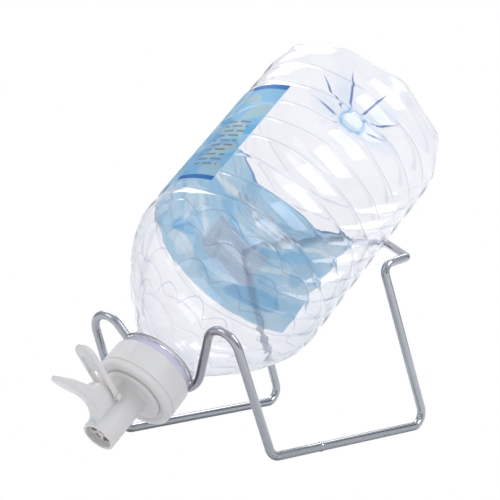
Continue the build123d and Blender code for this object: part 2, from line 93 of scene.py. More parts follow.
# Bottle: radii and stations of its profile
BOTTLE_RADIUS, SKIN = 77.0, 0.7
MOUTH_RADIUS, FINISH_RADIUS, NECK_RADIUS, SUPPORT_RING_RADIUS = 23.5, 25.4, 26.0, 29.6
MOUTH, SUPPORT_RING_FRONT, SUPPORT_RING_BACK, NECK_ROOT = 3.0, 24.6, 26.6, 38.0
SHOULDER = [(26.0, 38.0), (26.6, 40.6), (30.5, 43.5), (39.0, 52.0), (53.0, 68.0), (64.0, 84.0), (72.6, 100.0),
            (76.6, 113.0), (77.0, 118.0)]
BORE = [(23.5, 3.6), (23.5, 14.0), (23.5, 24.0), (24.0, 28.0), (24.3, 34.0), (24.8, 38.5)]
BORE_END = 40.0
BARREL_START, BARREL_END, BASE = 118.0, 286.0, 302.0
BASE_RING_RADIUS, BASE_CORNER, BASE_RING_ROUND = 47.0, 13.0, 12.0
GATE_RADIUS, PUSH_UP_STATION, GATE_STATION = 9.0, 292.0, 296.4

# Bottle: the rings, scallops and creases of its blown wall. Sways are size, times round and shift from
# ring to ring, and stretches go from the place where a form begins to the place where it is full.
RING_STATIONS = [129.5 + 20.0 * i for i in range(8)]
RING_SWAYS = [(1.1, 3, 1.3), (0.5, 8, 2.1)]
RING_DEPTH, RING_DEPTH_LIMIT, RING_ROUND, RING_WIDTH = 1.9, 2.1, 0.55, 3.0
RING_FRONT_STRETCH, RING_REAR_STRETCH = (119.0, 125.0), (284.0, 278.0)
SCALLOP_STATIONS = [58.0, 76.0, 94.0, 112.0]
SCALLOP_DEPTHS = [0.5, 0.8, 1.0, 1.0]
SCALLOPS_ROUND, SCALLOP_RISE, SCALLOP_LIFT, SCALLOP_ROUND, SCALLOP_WIDTH = 12, 9.0, 5.0, 0.5, 2.2
SHOULDER_END = 132.0
# Millimetres to one unit of the fold turn, and the half width of the painted shade line along each fold, in
# those units
FOLD_PITCH, FOLD_SHADE_HALF_SHARE = 20.0, 0.035
CREASES, FIRST_CREASE = 9, math.radians(28)
CREASE_PITCH = FULL_TURN / CREASES
BASE_STRETCH = (282.0, 292.0)

# Label film and the violet band on the neck
LABEL_STATION, LABEL_LENGTH = 135.0, 108.0
LABEL_RADIUS, LABEL_PRINT_RADIUS, LABEL_WAVE = 77.18, 77.2, 0.06
LABEL_START, LABEL_SWEEP = math.radians(80), math.radians(188)
BAND_INNER, BAND_OUTER, BAND_FRONT, BAND_BACK, BAND_ROUND = 26.2, 28.1, 19.2, 24.1, 0.4

# Half sections of the cap and the tap: radius, station and rounding of each corner
CAP_SECTION = [(27.3, 18.3, 0.4), (30.7, 18.3, 0.9), (31.1, 0.15, 0.25), (30.45, -0.1, 0.2),
               (30.45, -0.75, 0.2), (30.85, -0.95, 0.25), (30.75, -6.0, 2.2), (26.2, -6.0, 0.8),
               (25.0, -4.9, 1.2), (22.55, -4.4, 0.15), (22.55, -1.5, 0.3), (27.3, -1.5, 0.4)]
TAP_SECTION = [(12.0, 1.0, 0.3), (26.6, 1.0, 0.4), (26.6, -1.45, 0.2), (22.4, -1.45, 0.3), (22.4, -6.0, 0.4),
               (20.4, -7.2, 1.5), (16.0, -7.2, 0.0), (12.4, -7.2, 1.2), (12.4, -47.4, 0.7),
               (10.4, -47.4, 0.4), (10.4, -41.4, 0.2), (9.6, -41.4, 0.2), (9.6, -8.0, 0.4), (6.0, -8.0, 0.3),
               (6.0, -5.0, 0.3), (12.0, -5.0, 0.3)]
CAP_RIBS, FIRST_RIB, RIB_HALF_WIDTH, RIB_PROUD = 4, math.radians(-14), 1.25, 0.55
SKIRT_RADIUS, SKIRT_INNER, SKIRT_BACK = 31.0, 29.9, 18.0
RIB_FRONT_STRETCH, RIB_BACK_STRETCH = (1.5, 2.7), (18.1, 17.5)

# Fixed ear, as stations and heights above the axis
EAR_FRONT = [(-46.6, 11.9), (-42.6, 12.6), (-39.7, 16.2), (-38.4, 21.6), (-39.2, 29.0), (-42.0, 37.5),
             (-45.2, 45.2), (-47.9, 52.5), (-49.8, 57.6)]
EAR_TIP = [(-49.8, 57.6), (-50.2, 59.9), (-48.4, 61.0), (-47.0, 60.0)]
EAR_BACK = [(-47.0, 60.0), (-42.8, 54.2), (-38.2, 46.8), (-33.3, 37.4)]
WEB = [(-33.3, 37.4), (-32.2, 34.8), (-24.4, 31.0), (-17.4, 18.6), (-16.6, 14.6), (-16.6, 10.0),
       (-46.6, 10.0), (-46.6, 11.9)]
EAR_REST_TIP, EAR_REST_ROOT = (-49.6, 60.4), (-39.6, 35.6)
EAR_HALF, EAR_REST_HALF, EAR_ROUND = 5.0, 8.0, 1.1

# Squeeze lever, as stations and heights above the axis
LEVER_FRONT = [(-22.6, 17.0), (-22.3, 20.0), (-21.8, 31.0), (-21.3, 45.0), (-20.6, 58.0)]
LEVER_TIP = [(-20.6, 58.0), (-20.2, 61.4), (-17.6, 61.6), (-17.1, 58.6)]
LEVER_BACK = [(-17.1, 58.6), (-16.6, 51.0), (-16.9, 43.0), (-17.6, 33.0), (-18.1, 20.0)]
LEVER_REST_TIP, LEVER_REST_ROOT = (-18.9, 61.8), (-20.5, 4.0)
CRANK = [(-22.1, 14.5), (-22.1, 1.9), (-18.9, 1.9), (-18.9, 14.5)]
PIVOT, ARM_END_RADIUS, FORK_HEIGHT, CHANNEL_HEAD = (-20.5, 14.5), 2.7, 38.6, 52.0
CHANNEL_START, CHANNEL_TOP, PLATE_BACK_START, PLATE_BACK = (-20.9, 38.6), (-20.4, 50.0), (-17.2, 38.6), 39.0
LEVER_HALF, ARM_INNER, CRANK_OUTER, LIP_INNER, PLATE_HALF = 7.7, 5.3, 6.6, 3.8, 4.2


# Meshes
def place(name, data):
    """New object for a mesh, lamp or camera, linked into the scene."""
    obj = bpy.data.objects.new(name, data)
    bpy.context.scene.collection.objects.link(obj)
    return obj


def make_mesh(name, points, faces, closed=True):
    """Smooth mesh object from points in millimetres and faces as index lists; a closed one faces outwards."""
    mesh = bpy.data.meshes.new(name)
    mesh.from_pydata((points * MM).tolist(), [], faces)
    if closed:
        work = bmesh.new()
        work.from_mesh(mesh)
        bmesh.ops.recalc_face_normals(work, faces=work.faces)
        work.to_mesh(mesh)
        work.free()
    mesh.shade_smooth()
    return place(name, mesh)


def gather(parts):
    """One pair of points and faces from several, each of whose faces count from its own first point."""
    points, faces = [], []
    for part_points, part_faces in parts:
        start = sum(len(p) for p in points)
        points.append(part_points)
        faces += [[start + i for i in face] for face in part_faces]
    return np.vstack(points), faces


def grid_faces(rows, columns, wrap_rows=False, wrap_columns=True):
    """Quads of a grid of points, numbered row after row."""
    row = np.arange(rows if wrap_rows else rows - 1)[:, None]
    column = np.arange(columns if wrap_columns else columns - 1)[None]
    next_row, next_column = (row + 1) % rows, (column + 1) % columns
    corners = [row * columns + column, row * columns + next_column,
               next_row * columns + next_column, next_row * columns + column]
    return np.stack(corners, axis=-1).reshape(-1, 4).tolist()


def rounded(points, radii, closed=False, step=8.0):
    """Path whose corners are arcs, cut about every step degrees: an arc starts radius times the tangent of
    half the turn away from its corner, and its middle lies radius over the cosine of half the turn away."""
    straight, longest_cut = 0.02, 0.49
    points = [np.asarray(point, float) for point in points]
    if np.isscalar(radii):
        radii = [radii] * len(points)
    elif not closed:
        radii = [0.0, *radii, 0.0]
    path = []
    for i, corner in enumerate(points):
        at_end = not closed and i in (0, len(points) - 1)
        if at_end or radii[i] <= 0:
            path.append(corner)
            continue
        before, after = points[i - 1] - corner, points[(i + 1) % len(points)] - corner
        run_before, run_after = np.linalg.norm(before), np.linalg.norm(after)
        before, after = before / run_before, after / run_after
        turn = HALF_TURN - math.acos(float(np.clip(np.dot(before, after), -1, 1)))
        if turn < straight:
            path.append(corner)
            continue
        cut = min(radii[i] * math.tan(turn / 2), longest_cut * run_before, longest_cut * run_after)
        radius = cut / math.tan(turn / 2)
        middle = corner + (before + after) / np.linalg.norm(before + after) * radius / math.cos(turn / 2)
        first, last = corner + before * cut - middle, corner + after * cut - middle
        count = max(3, int(math.degrees(turn) / step) + 1)
        for k in range(count + 1):
            passed = turn * k / count
            path.append(middle + (first * math.sin(turn - passed) + last * math.sin(passed)) / math.sin(turn))
    return np.array(path)


def resample(path, step, closed=False):
    """The same path with points added on long runs, so that none is twice as long as step."""
    ends = np.roll(path, -1, axis=0) if closed else path[1:]
    finer = []
    for start, end in zip(path, ends):
        pieces = max(1, int(np.linalg.norm(end - start) / step))
        finer.extend(start + (end - start) * k / pieces for k in range(pieces))
    if not closed:
        finer.append(path[-1])
    return np.array(finer)


def smooth_curve(points, count):
    """Catmull-Rom curve through the points, with count steps from each to the next."""
    p = [np.asarray(point, float) for point in points]
    p = [2 * p[0] - p[1], *p, 2 * p[-1] - p[-2]]
    curve = []
    for i in range(1, len(p) - 2):
        for t in np.arange(count) / count:
            curve.append(0.5 * (2 * p[i] + (p[i + 1] - p[i - 1]) * t
                                + (2 * p[i - 1] - 5 * p[i] + 4 * p[i + 1] - p[i + 2]) * t ** 2
                                + (3 * p[i] - p[i - 1] - 3 * p[i + 1] + p[i + 2]) * t ** 3))
    curve.append(p[-2])
    return np.array(curve)


def angles(turns):
    """Evenly spaced angles of one whole turn, as one row."""
    return np.arange(turns)[None] * FULL_TURN / turns


def around(radius, station, angle):
    """Points about the bottle's axis: seam, plus station along the axis, plus radius times the cosine of the
    angle to the side and its sine upwards."""
    ring = np.cos(angle)[..., None] * SIDE + np.sin(angle)[..., None] * UP
    return (SEAM + station[..., None] * AXIS + radius[..., None] * ring).reshape(-1, 3)


def spun(profile, turns):
    """Points and faces of a closed line of (radius, station) points turned about the bottle's axis."""
    points = around(profile[:, :1], profile[:, 1:], angles(turns))
    return points, grid_faces(len(profile), turns, wrap_rows=True)


def ramp(value, low, high):
    """0 up to low, 1 from high, and straight between them."""
    return np.clip((value - low) / (high - low), 0, 1)


def plate(outline, left, right, edge):
    """Points and faces of a plate with rounded edges, whose outline is in stations and heights: over a
    quarter turn the outline is drawn in by edge times one minus cosine, and its side by edge times one minus
    sine."""
    after, before = np.roll(outline, -1, axis=0), np.roll(outline, 1, axis=0)
    tangent = after - before
    tangent /= np.linalg.norm(tangent, axis=1)[:, None]
    outward = np.stack([tangent[:, 1], -tangent[:, 0]], axis=1)
    outward *= np.sign(np.sum(outline[:, 0] * after[:, 1] - after[:, 0] * outline[:, 1]))
    quarter = np.arange(6) / 5 * math.pi / 2
    across, inset = left + edge * (1 - np.sin(quarter)), edge * (1 - np.cos(quarter))
    across = np.concatenate([across[::-1], left + right - across])
    inset = np.concatenate([inset[::-1], inset])
    flat = outline - outward * inset[:, None, None]
    points = SEAM + flat[..., :1] * AXIS + flat[..., 1:] * UP + across[:, None, None] * SIDE
    faces = grid_faces(len(across), len(outline))
    last_ring = (len(across) - 1) * len(outline)
    for triangle in tessellate_polygon([[Vector((*corner, 0)) for corner in flat[0]]]):
        faces += [list(triangle), [last_ring + i for i in reversed(triangle)]]
    return points.reshape(-1, 3), faces


def tube(path, radius, sides):
    """Points and faces of a closed round tube: each ring stands square to the line from the point before to
    the point after, is turned from the last ring by the least rotation, and takes its share of the closing
    twist."""
    tangent = np.roll(path, -1, axis=0) - np.roll(path, 1, axis=0)
    tangent /= np.linalg.norm(tangent, axis=1)[:, None]
    any_way = np.array([0.3, 0.2, 0.9])
    across = np.cross(tangent[0], any_way)
    pairs = []
    for direction in tangent:
        across = across - direction * np.dot(across, direction)
        across /= np.linalg.norm(across)
        pairs.append((across, np.cross(direction, across)))
    first, second = np.array(pairs).transpose(1, 0, 2)[..., None, :]
    end = first[-1, 0] - tangent[0] * np.dot(first[-1, 0], tangent[0])
    twist = -math.atan2(np.dot(end, second[0, 0]), np.dot(end, first[0, 0]))
    angle = (angles(sides) + twist * np.arange(len(path))[:, None] / len(path))[..., None]
    points = path[:, None] + radius * (np.cos(angle) * first + np.sin(angle) * second)
    return points.reshape(-1, 3), grid_faces(len(path), sides, wrap_rows=True)


# Materials
def linear(code):
    """Linear colour from an sRGB hex code."""
    channels = [int(code[i:i + 2], 16) / 255 for i in (1, 3, 5)]
    return [v / 12.92 if v <= 0.04045 else ((v + 0.055) / 1.055) ** 2.4 for v in channels] + [1.0]


def add(tree, kind, inputs=(), output=0, **settings):
    """Adds a node with its settings, and feeds its inputs, given in their order or by name, with numbers,
    colours or other nodes' outputs. Gives the output that is asked for, or the node if it has none."""
    node = tree.nodes.new("ShaderNode" + kind)
    for setting, value in settings.items():
        setattr(node, setting, value)
    for socket, value in inputs.items() if isinstance(inputs, dict) else enumerate(inputs):
        if isinstance(value, bpy.types.NodeSocket):
            tree.links.new(value, node.inputs[socket])
        else:
            node.inputs[socket].default_value = value
    return node.outputs[output] if len(node.outputs) else node


def new_material(name):
    """Material with an empty node tree, and that tree."""
    material = bpy.data.materials.new(name)
    material.use_nodes = True
    material.node_tree.nodes.clear()
    return material, material.node_tree


def layered(tree, colour, layers):
    """Lays each layer's colour over what is under it, as far as the layer's mask says from 0 to 1."""
    for mask, code in layers:
        colour = add(tree, "Mix", {0: mask, 6: colour, 7: linear(code)}, output=2, data_type="RGBA")
    return colour


def patchy(tree, patch, low, high, detail=2.0):
    """Roughness that drifts from low to high over patches of a size in millimetres."""
    where = add(tree, "TexCoord", output="Object")
    noise = add(tree, "TexNoise", {"Vector": where, "Scale": 1 / (patch * MM), "Detail": detail})
    return add(tree, "MapRange", [noise, 0.0, 1.0, low, high])


def chrome_wire():
    """Chromium plated over drawn steel wire: a mirror that the plating clouds a little in broad patches."""
    material, tree = new_material("chromed steel, plated over drawn wire")
    shader = add(tree, "BsdfPrincipled", {"Base Color": linear("#a9abae"), "Metallic": 1.0,
                                          "Roughness": patchy(tree, 11.11, 0.06, 0.14, detail=3.0)})
    add(tree, "OutputMaterial", [shader])
    return material


def white_moulding():
    """Polypropylene, injection moulded: a soft sheen that varies with the mould's polish, and light that
    goes a little way in. The eroded mould's grain is finer than this, and drawn as coarse as it needs to
    show."""
    material, tree = new_material("white polypropylene, injection moulded")
    grain_size, polish_size = 1.111, 22.22
    where = add(tree, "TexCoord", output="Object")
    grain = add(tree, "TexNoise", {"Vector": where, "Scale": 1 / (grain_size * MM)})
    bump = add(tree, "Bump", {"Height": grain, "Strength": 0.08, "Distance": 0.2 * MM})
    shader = add(tree, "BsdfPrincipled", {
        "Base Color": linear("#d4d2cf"), "Roughness": patchy(tree, polish_size, 0.34, 0.46), "Normal": bump,
        "Subsurface Weight": 0.2, "Subsurface Scale": 3 * MM})
    add(tree, "OutputMaterial", [shader])
    return material


def crease_shade_mask(tree):
    """Mask of the painted shade along the base's creases: spindles on the base, one along each crease from
    the gate outwards. Their half width is its greatest value times a share that rises from the gate and falls
    to their end, and their reach swings round the base."""
    rising, middle_reach, reach_swing, fall_length = (12.0, 19.0), 36.0, 13.0, 12.0
    longest_way, half_width, soft_edge = math.radians(60), 1.1, 0.3
    base_start, strength = 284.0, 0.9
    where = add(tree, "TexCoord", output="Object")
    on_axis = add(tree, "Mapping", [where, tuple(SEAM * MM), (TILT, 0, 0), (MM, MM, MM)],
                  vector_type="TEXTURE")
    across, station, height = add(tree, "SeparateXYZ", [on_axis]).node.outputs
    flat = add(tree, "CombineXYZ", [across, height])
    radius = add(tree, "VectorMath", [flat], output="Value", operation="LENGTH")
    angle = add(tree, "Math", [height, across], operation="ARCTAN2")
    creases = add(tree, "Math", [angle, 1 / CREASE_PITCH, -FIRST_CREASE / CREASE_PITCH],
                  operation="MULTIPLY_ADD")
    nearest = add(tree, "Math", [creases, 0.5], operation="PINGPONG")
    pitch = add(tree, "Math", [radius, CREASE_PITCH], operation="MULTIPLY")
    off = add(tree, "Math", [nearest, pitch], operation="MULTIPLY")
    from_longest = add(tree, "Math", [angle, longest_way], operation="SUBTRACT")
    swing = add(tree, "Math", [from_longest], operation="COSINE")
    reach = add(tree, "Math", [swing, reach_swing, middle_reach], operation="MULTIPLY_ADD")
    left_to_go = add(tree, "Math", [reach, radius], operation="SUBTRACT")
    rise = add(tree, "MapRange", [radius, *rising])
    fall = add(tree, "MapRange", [left_to_go, 0.0, fall_length, 0.0, half_width])
    half = add(tree, "Math", [rise, fall], operation="MULTIPLY")
    inside = add(tree, "MapRange", [add(tree, "Math", [half, off], operation="SUBTRACT"), 0.0, soft_edge])
    on_base = add(tree, "MapRange", [station, base_start, base_start + 1, 0.0, strength])
    return add(tree, "Math", [inside, on_base], operation="MULTIPLY")


def clear_bottle():
    """Polyethylene terephthalate, stretch blown: clear, faintly hazy and a little wavy, and bluish where it
    is thick. Painted shade darkens the folds of its rings and scallops, its creases and the walls seen edge
    on."""
    material, tree = new_material("clear PET, stretch blown")
    wave_size = 38.46
    where = add(tree, "TexCoord", output="Object")
    waves = add(tree, "TexNoise", {"Vector": where, "Scale": 1 / (wave_size * MM)})
    bump = add(tree, "Bump", {"Height": waves, "Strength": 0.12, "Distance": 1 * MM})
    thick = add(tree, "Attribute", output="Fac", attribute_name="thick")
    turn = add(tree, "Attribute", output="Fac", attribute_name="fold_shade")
    off_fold = add(tree, "Math", [turn, 0.5], operation="PINGPONG")
    # Painted shade: a thin blue-grey line along the bottom of each ring groove and scallop fold
    fold_shade = add(tree, "MapRange", [off_fold, FOLD_SHADE_HALF_SHARE, 0.0, 0.0, 0.3])
    # Painted shade: walls seen edge on are tinted blue-grey, the more the further they turn away from the
    # view
    facing = add(tree, "LayerWeight", [0.5], output="Facing")
    edge_on_shade = add(tree, "Math", [facing, 5.0], operation="POWER")
    edge = add(tree, "Math", [edge_on_shade, 0.35], operation="MULTIPLY")
    # Over the clear tint: the gate's thicker, bluish plastic, then painted shade along the folds, at the
    # walls seen edge on and along the base's creases
    colour = layered(tree, linear("#fcfcff"), [(thick, "#7cc0ea"), (fold_shade, "#6f88bd"), (edge, "#8b9cc4"),
                                               (crease_shade_mask(tree), "#2f62ac")])
    shader = add(tree, "BsdfPrincipled", {"Base Color": colour, "Normal": bump, "Transmission Weight": 1.0,
                                          "IOR": 1.38, "Roughness": 0.015})
    haze = add(tree, "BsdfTranslucent", [colour])
    add(tree, "OutputMaterial", [add(tree, "MixShader", [0.05, shader, haze])])
    return material


def violet_band():
    """Polyethylene, injection moulded: see-through, blue-violet and dull enough to blur what is behind it."""
    material, tree = new_material("clear blue-violet polyethylene, injection moulded")
    shader = add(tree, "BsdfPrincipled", {"Base Color": linear("#e9e9fa"), "Transmission Weight": 0.8,
                                          "IOR": 1.3, "Roughness": patchy(tree, 3.333, 0.35, 0.5)})
    add(tree, "OutputMaterial", [shader])
    return material


def soft_rubber():
    """Silicone, compression moulded: pale and dull, with no clear reflections."""
    material, tree = new_material("pale silicone, compression moulded")
    shader = add(tree, "BsdfPrincipled", {"Base Color": linear("#dcdcda"),
                                          "Roughness": patchy(tree, 5.0, 0.5, 0.7)})
    add(tree, "OutputMaterial", [shader])
    return material


def spring_steel():
    """Stainless steel, drawn and coiled: grey metal whose reflections the drawing has dulled."""
    material, tree = new_material("stainless steel, drawn spring wire")
    shader = add(tree, "BsdfPrincipled", {"Base Color": linear("#9a9a9e"), "Metallic": 1.0,
                                          "Roughness": patchy(tree, 2.5, 0.25, 0.4)})
    add(tree, "OutputMaterial", [shader])
    return material


# What is printed on the film, in millimetres round the bottle, u, and along it, v.
# Waves: height, swing, length, phase in radians, half breadth, soft edge and colour
PRINTED_WAVES = [(30, 7, 92, 0.4, 8, 3.0, "#9fd2ee"), (46, 9, 118, 2.1, 3.2, 1.2, "#d9f1fb"),
                 (64, 8, 86, 4.0, 6.5, 2.5, "#88caee"), (80, 6, 74, 1.0, 2.2, 1.0, "#e6f6fc")]
# Leaves: middle, half length, half breadth, turn in degrees and colour. Those at the near end are all pale.
PRINTED_LEAVES = [(128, 24, 15, 7, 35, "#72bde8"), (138, 15, 17, 6, 12, "#d3ecf8"),
                  (116, 40, 16, 7, -38, "#cbe8f6"), (212, 22, 26, 9, 8, "#74bbe4"),
                  (232, 60, 16, 9, 70, "#9fcfe9"), (62, 62, 20, 8, -28, "#d3ecf8")]
NEAR_END_LEAVES = [(8, 12, 13, 9, 30), (14, 34, 16, 7, -25), (20, 58, 17, 9, 20), (10, 78, 15, 8, -20),
                   (26, 92, 13, 6, 15)]
# Bubbles: middle and radius
PRINTED_BUBBLES = [(78, 34, 7), (96, 72, 5), (228, 38, 6)]
# Fields of dashes: middle, half length, half height, strength of the panel under them, row height and colour
PRINTED_FIELDS = [(176, 43, 26, 16.5, 0.75, 2.2, "#a4b3c6"), (180, 86, 32, 7.5, 0.0, 3.4, "#a6a7b4"),
                  (19, 42, 12, 27, 0.0, 5.2, "#92979e"), (98, 84, 20, 12, 0.0, 3.0, "#9fb0c2")]
# The darker near end with its two strips, and the film's low and high borders, each over a soft edge
NEAR_END, STRIP_MIDDLES, STRIP_HALF, STRIP_SOFT = (37.0, 36.6), (4.0, 105.0), 2.4, 0.5
LOW_BORDER, HIGH_BORDER = (1.6, 1.2), (106.2, 106.8)


def label_print():
    """Polypropylene film, gravure printed in blues and white: part of the light passes through the thin inks,
    so the bottle's rings show faintly under them. The film's own UV places the print, in millimetres."""
    material, tree = new_material("printed clear film, gravure printed in blues")
    film = add(tree, "UVMap", uv_map="film")
    u, v = add(tree, "SeparateXYZ", [film]).node.outputs[:2]

    def band(value, half, soft):
        """1 where value is nearer to zero than half, over a soft edge."""
        off = add(tree, "Math", [value], operation="ABSOLUTE")
        return add(tree, "MapRange", [off, half, half - soft])

    def wave(height, swing, length, phase):
        """Distance in v from a wavy line: its height plus swing times the sine of u over the length."""
        angle = add(tree, "Math", [u, FULL_TURN / length, phase], operation="MULTIPLY_ADD")
        sine = add(tree, "Math", [angle], operation="SINE")
        line = add(tree, "Math", [sine, swing, height], operation="MULTIPLY_ADD")
        return add(tree, "Math", [v, line], operation="SUBTRACT")

    def leaf(middle_u, middle_v, half_u, half_v, degrees):
        """Oval bowed along its length: the way across is moved by bow times the square of the way along."""
        bow, soft = 0.6, 0.12
        turned = add(tree, "Mapping", [film, (middle_u, middle_v, 0), (0, 0, math.radians(degrees)),
                                       (half_u, half_v, 1)], vector_type="TEXTURE")
        along, across = add(tree, "SeparateXYZ", [turned]).node.outputs[:2]
        square = add(tree, "Math", [along, along], operation="MULTIPLY")
        bowed = add(tree, "Math", [square, bow, across], operation="MULTIPLY_ADD")
        oval = add(tree, "CombineXYZ", [along, bowed])
        reach = add(tree, "VectorMath", [oval], output="Value", operation="LENGTH")
        return add(tree, "MapRange", [reach, 1.0, 1 - soft])

    def bubble(middle_u, middle_v, radius):
        """Thin ring, where the distance from its middle is near the radius."""
        line = 0.7
        middle = (middle_u, middle_v, 0)
        distance = add(tree, "VectorMath", [film, middle], output="Value", operation="DISTANCE")
        return band(add(tree, "Math", [distance, radius], operation="SUBTRACT"), line, line)

    def box(middle_u, middle_v, half_u, half_v):
        """Rectangle: a band in u times a band in v."""
        soft = 0.3
        off_u = add(tree, "Math", [u, middle_u], operation="SUBTRACT")
        off_v = add(tree, "Math", [v, middle_v], operation="SUBTRACT")
        return add(tree, "Math", [band(off_u, half_u, soft), band(off_v, half_v, soft)], operation="MULTIPLY")

    def dashes(row):
        """Plain dashes in rows along u, each row shifted from the last by a share of the dashes' spacing."""
        spacing, shift, line_edges, dash_edges = 2.6 * row, 0.37, (0.26, 0.36), (0.78, 0.74)
        rows = add(tree, "Math", [v, row], operation="DIVIDE")
        off_row = add(tree, "Math", [rows, 0.5], operation="PINGPONG")
        number = add(tree, "Math", [rows], operation="FLOOR")
        along = add(tree, "Math", [u, spacing], operation="DIVIDE")
        shifted = add(tree, "Math", [number, shift, along], operation="MULTIPLY_ADD")
        share = add(tree, "Math", [shifted], operation="FRACT")
        on_line = add(tree, "MapRange", [off_row, *line_edges])
        on_dash = add(tree, "MapRange", [share, *dash_edges])
        return add(tree, "Math", [on_line, on_dash], operation="MULTIPLY")

    cloud_size = 28.57
    noise = add(tree, "TexNoise", {"Vector": film, "Scale": 1 / cloud_size, "Detail": 3.0})
    near_end = add(tree, "MapRange", [u, *NEAR_END])
    inks = [(add(tree, "MapRange", [noise, 0.3, 0.72]), "#d0ebf7")]
    for height, swing, length, phase, half, soft, code in PRINTED_WAVES:
        inks.append((band(wave(height, swing, length, phase), half, soft), code))
    for *shape, code in PRINTED_LEAVES:
        inks.append((leaf(*shape), code))
    inks.append((add(tree, "Math", [near_end, 0.4], operation="MULTIPLY"), "#56b0e2"))
    for shape in NEAR_END_LEAVES:
        inks.append((add(tree, "Math", [leaf(*shape), near_end], operation="MULTIPLY"), "#b4d4df"))
    for shape in PRINTED_BUBBLES:
        inks.append((bubble(*shape), "#eaf7fd"))
    for *shape, panel, row, code in PRINTED_FIELDS:
        field = box(*shape)
        if panel:
            inks.append((add(tree, "Math", [field, panel], operation="MULTIPLY"), "#bcd2e6"))
        inks.append((add(tree, "Math", [field, dashes(row)], operation="MULTIPLY"), code))
    inks.append((add(tree, "MapRange", [v, *LOW_BORDER]), "#cfe6f4"))
    inks.append((add(tree, "MapRange", [v, *HIGH_BORDER]), "#4687c4"))
    for middle in STRIP_MIDDLES:
        off_strip = add(tree, "Math", [v, middle], operation="SUBTRACT")
        strip = add(tree, "Math", [band(off_strip, STRIP_HALF, STRIP_SOFT), near_end], operation="MULTIPLY")
        inks.append((strip, "#3a7fc6"))
    colour = layered(tree, linear("#94d0f0"), inks)
    gloss = add(tree, "BsdfPrincipled", {"Base Color": colour, "Roughness": 0.35})
    glow_through = add(tree, "BsdfTranslucent", [colour])
    see_through = add(tree, "BsdfTransparent", [colour])
    ink = add(tree, "MixShader", [0.45, gloss, glow_through])
    add(tree, "OutputMaterial", [add(tree, "MixShader", [0.42, ink, see_through])])
    return material


CHROME = chrome_wire()
WHITE = white_moulding()
CLEAR = clear_bottle()
VIOLET = violet_band()
RUBBER = soft_rubber()
STEEL = spring_steel()
PRINT = label_print()


def paint(obj, material):
    """Gives an object its only material."""
    obj.data.materials.clear()
    obj.data.materials.append(material)


def dress(obj, material, body, replaces):
    """Gives a piece its material and its body, and hides the CAD nodes that it stands for."""
    paint(obj, material)
    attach(obj, body)
    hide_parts(*replaces)


# Rack
def mirrored(bends):
    """The same bends on the rack's other side, in the opposite order."""
    return [(point * (-1, 1, 1), radius) for point, radius in reversed(bends)]


def rack_path():
    """Closed middle line of the wire: rear legs with their steps and the crossbar, then front legs with their
    humps and the cradle. The cradle's arc clears the neck by the seat gap, and the crossbar the bottle."""
    cradle = (NECK_RADIUS + SEAT_GAP + WIRE_RADIUS) / math.cos(TILT - FRONT_LEAN)
    low = CRADLE_AXIS_HEIGHT - cradle / math.sin(CRADLE_SIDE)
    high = (RACK_HALF + low * math.tan(CRADLE_SIDE)) / (math.tan(CRADLE_SIDE) + math.tan(FRONT_INSET))
    hump = front_point(RACK_HALF - high * math.tan(FRONT_INSET), high)
    knee = rear_point(RACK_HALF - KNEE_HEIGHT * math.tan(REAR_INSET), KNEE_HEIGHT)
    backwards = np.array([0.0, math.cos(TOP_TILT), math.sin(TOP_TILT)])
    below_axis = BOTTLE_RADIUS + SEAT_GAP + WIRE_RADIUS
    to_bar = (below_axis + np.dot(knee - SEAM, UP)) / math.sin(TILT - TOP_TILT)
    elbow = knee + backwards * STEP_LENGTH
    bar_end = np.array([CROSSBAR_HALF, knee[1], knee[2]]) + backwards * to_bar
    rear = [(rear_point(RACK_HALF, 0), BASE_BEND), (knee, KNEE_BEND), (elbow, ELBOW_BEND),
            (bar_end, BAR_BEND)]
    front = [(hump, HUMP_BEND), (front_point(RACK_HALF, 0), BASE_BEND)]
    corners, radii = zip(*rear, *mirrored(rear), *mirrored(front), (front_point(0, low), cradle), *front)
    return rounded(corners, radii, closed=True, step=5.0)


def make_weld():
    """Butt weld's bead, a sleeve round the wire whose ends are sunk in it: its radius swells by a power of a
    sine along it, and small lumps go round it three and seven times."""
    rings, sides = 13, 40
    share = np.arange(rings)[:, None] / (rings - 1)
    along = -WELD_RUN_OUT + (WELD_LENGTH + 2 * WELD_RUN_OUT) * share
    swell = (WELD_SUNK + WELD_PROUD) * np.sin(math.pi * share) ** 0.8
    angle = angles(sides)
    lumps = 1 + 0.012 * np.sin(3 * angle + along) + 0.008 * np.sin(7 * angle - 2 * along)
    radius = (WIRE_RADIUS - WELD_SUNK + swell) * lumps
    points = np.stack([RACK_HALF + radius * np.cos(angle),
                       FRONT_Y + WELD_FROM_FRONT + np.broadcast_to(along, radius.shape),
                       WIRE_RADIUS + radius * np.sin(angle)], axis=-1)
    return make_mesh("weld_bead", points.reshape(-1, 3), grid_faces(rings, sides))


rack_line = resample(rack_path(), 6.0, closed=True)
rack_runs = ["front_cradle_wire", "rear_support_wire", "left_base_rail",
             "right_rail_front", "right_rail_rear"]
dress(make_mesh("rack_wire", *tube(rack_line, WIRE_RADIUS, 32)), CHROME, "rack", rack_runs)
dress(make_weld(), CHROME, "rack", ["rail_weld"])


